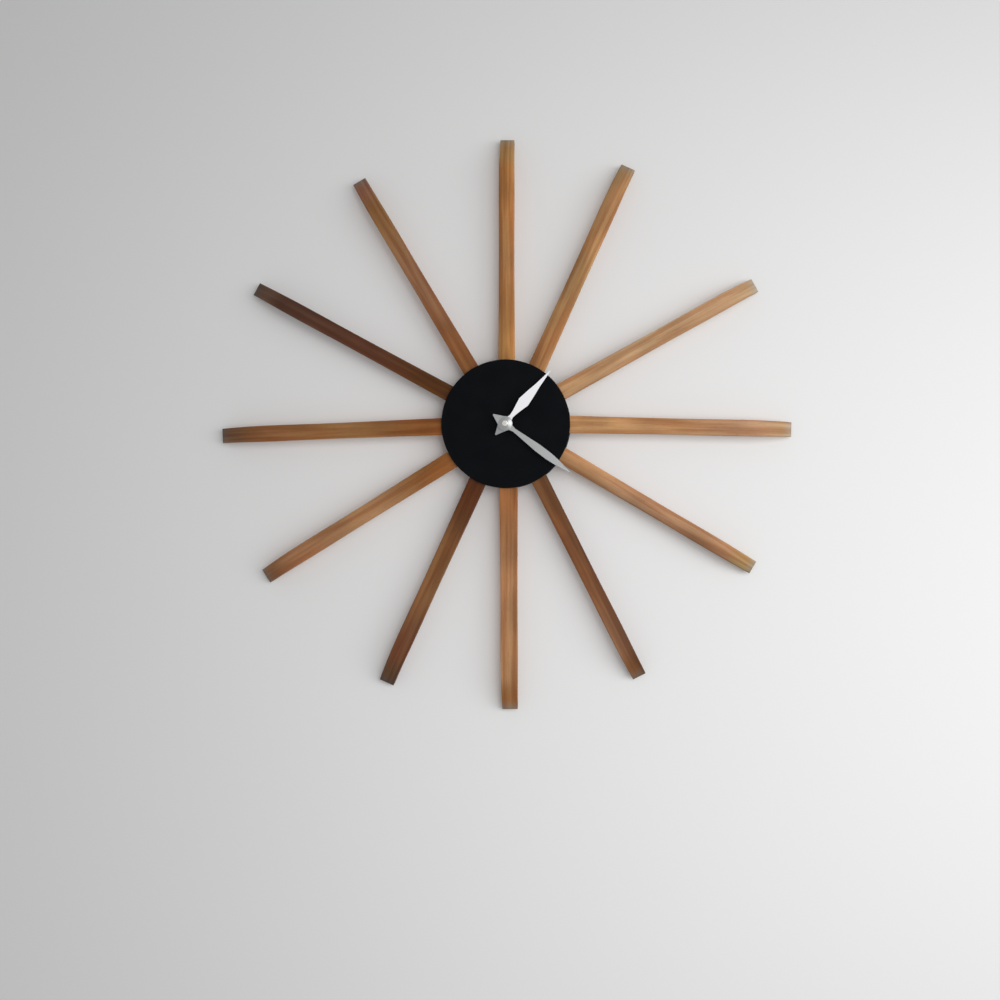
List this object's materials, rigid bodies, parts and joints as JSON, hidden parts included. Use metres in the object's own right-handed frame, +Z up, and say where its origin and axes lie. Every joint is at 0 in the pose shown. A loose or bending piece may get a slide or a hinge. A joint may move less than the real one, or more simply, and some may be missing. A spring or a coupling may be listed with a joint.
{
  "type": "sunburst wall clock",
  "caption": "Wall clock with bent wooden slats fanned round a black hub, leaf hands, and a battery quartz movement with its gear train.",
  "frame": {"origin": "on the wall plane behind the hands' common axis, in the middle of the hub's flat back", "axes": "+Z up, +X to the right as seen from the room, +Y into the wall; the dial faces -Y and a positive turn about +Y is clockwise from the front"},
  "size_m": [0.6001, 0.0342, 0.6],
  "materials": {
    "light_teak": "oiled teak, lighter honey brown",
    "warm_teak": "oiled teak, warm orange brown",
    "brown_teak": "oiled teak, deep brown",
    "dark_teak": "oiled teak, darkest board",
    "black_paint": "matt black paint on plywood",
    "zinc_steel": "zinc plated",
    "bright_steel": "bright",
    "soft_iron": "plain rolled strip",
    "magnet": "sintered, dull dark grey",
    "rubber": "matt black",
    "brass": "turned",
    "nickel_brass": "nickel plated brass",
    "bronze": "rolled phosphor bronze",
    "copper_wire": "enamelled copper wire, drawn as one winding",
    "white_hand": "white lacquer",
    "grey_hand": "pale silver lacquer",
    "black_plastic": "fine moulded grain",
    "white_plastic": "natural acetal",
    "board": "paper laminate board",
    "epoxy": "black potting drop",
    "battery_jacket": "plain grey jacket with bare ends"
  },
  "bodies": {
    "clock": {"slat_01": "warm_teak", "slat_02": "light_teak", "slat_03": "light_teak", "slat_04": "light_teak", "slat_05": "brown_teak", "slat_06": "light_teak", "slat_07": "brown_teak", "slat_08": "light_teak", "slat_09": "warm_teak", "slat_10": "dark_teak", "slat_11": "warm_teak", "slat_12": "warm_teak", "dial_disc": "black_paint", "rear_hub": "black_paint", "slat_screws": "zinc_steel", "hanger_plate": "zinc_steel", "hanger_screws": "zinc_steel", "rubber_washer": "rubber", "dial_washer": "brass", "dial_nut": "brass", "fixing_bush": "brass", "case_front": "black_plastic", "case_cover": "black_plastic", "train_bridge": "white_plastic", "middle_plate": "white_plastic", "stator": "soft_iron", "coil_core": "soft_iron", "coil_bobbin": "white_plastic", "coil_winding": "copper_wire", "circuit_board": "board", "clock_chip": "epoxy", "quartz_crystal": "bright_steel", "battery": "battery_jacket", "positive_contact": "bright_steel", "negative_contact": "bright_steel"},
    "minute": {"cannon_pinion": "nickel_brass", "minute_hand": "grey_hand", "hand_nut": "nickel_brass", "clutch_spring": "bronze"},
    "hour": {"hour_wheel": "white_plastic", "hour_hand": "white_hand"},
    "motion": {"motion_wheel": "white_plastic"},
    "setting": {"setting_arbor": "white_plastic", "setting_knob": "black_plastic"},
    "seconds": {"seconds_wheel": "white_plastic", "seconds_arbor": "bright_steel"},
    "third": {"third_wheel": "white_plastic"},
    "centre": {"centre_wheel": "brass"},
    "intermediate": {"intermediate_wheel": "white_plastic"},
    "rotor": {"rotor_pinion": "white_plastic", "rotor_magnet": "magnet"}
  },
  "joints": [
    {"name": "minute_turn", "type": "hinge", "parent": "clock", "child": "minute", "pos_m": [0, -0.015, 0], "axis": [0, 1, 0], "continuous": true},
    {"name": "hour_turn", "type": "hinge", "parent": "clock", "child": "hour", "pos_m": [0, -0.015, 0], "axis": [0, 1, 0], "continuous": true},
    {"name": "motion_turn", "type": "hinge", "parent": "clock", "child": "motion", "pos_m": [-0.009, -0.015, 0], "axis": [0, 1, 0], "continuous": true},
    {"name": "setting_turn", "type": "hinge", "parent": "clock", "child": "setting", "pos_m": [-0.01746, -0.015, 0.00308], "axis": [0, 1, 0], "continuous": true},
    {"name": "seconds_turn", "type": "hinge", "parent": "clock", "child": "seconds", "pos_m": [0, -0.015, 0], "axis": [0, 1, 0], "continuous": true},
    {"name": "third_turn", "type": "hinge", "parent": "clock", "child": "third", "pos_m": [-0.00779, -0.015, 0.0045], "axis": [0, 1, 0], "continuous": true},
    {"name": "centre_turn", "type": "hinge", "parent": "clock", "child": "centre", "pos_m": [0, -0.015, 0], "axis": [0, 1, 0], "continuous": true},
    {"name": "intermediate_turn", "type": "hinge", "parent": "clock", "child": "intermediate", "pos_m": [0.00779, -0.015, 0.0045], "axis": [0, 1, 0], "continuous": true},
    {"name": "rotor_turn", "type": "hinge", "parent": "clock", "child": "rotor", "pos_m": [0.01133, -0.015, 0.00955], "axis": [0, 1, 0], "continuous": true}
  ],
  "couplings": [
    {"joint": "hour_turn", "follows": "minute_turn", "ratio": 0.083333},
    {"joint": "motion_turn", "follows": "minute_turn", "ratio": -0.33333},
    {"joint": "setting_turn", "follows": "minute_turn", "ratio": 1},
    {"joint": "third_turn", "follows": "seconds_turn", "ratio": -0.125},
    {"joint": "centre_turn", "follows": "seconds_turn", "ratio": 0.016667},
    {"joint": "intermediate_turn", "follows": "seconds_turn", "ratio": -5},
    {"joint": "rotor_turn", "follows": "seconds_turn", "ratio": 30}
  ]
}
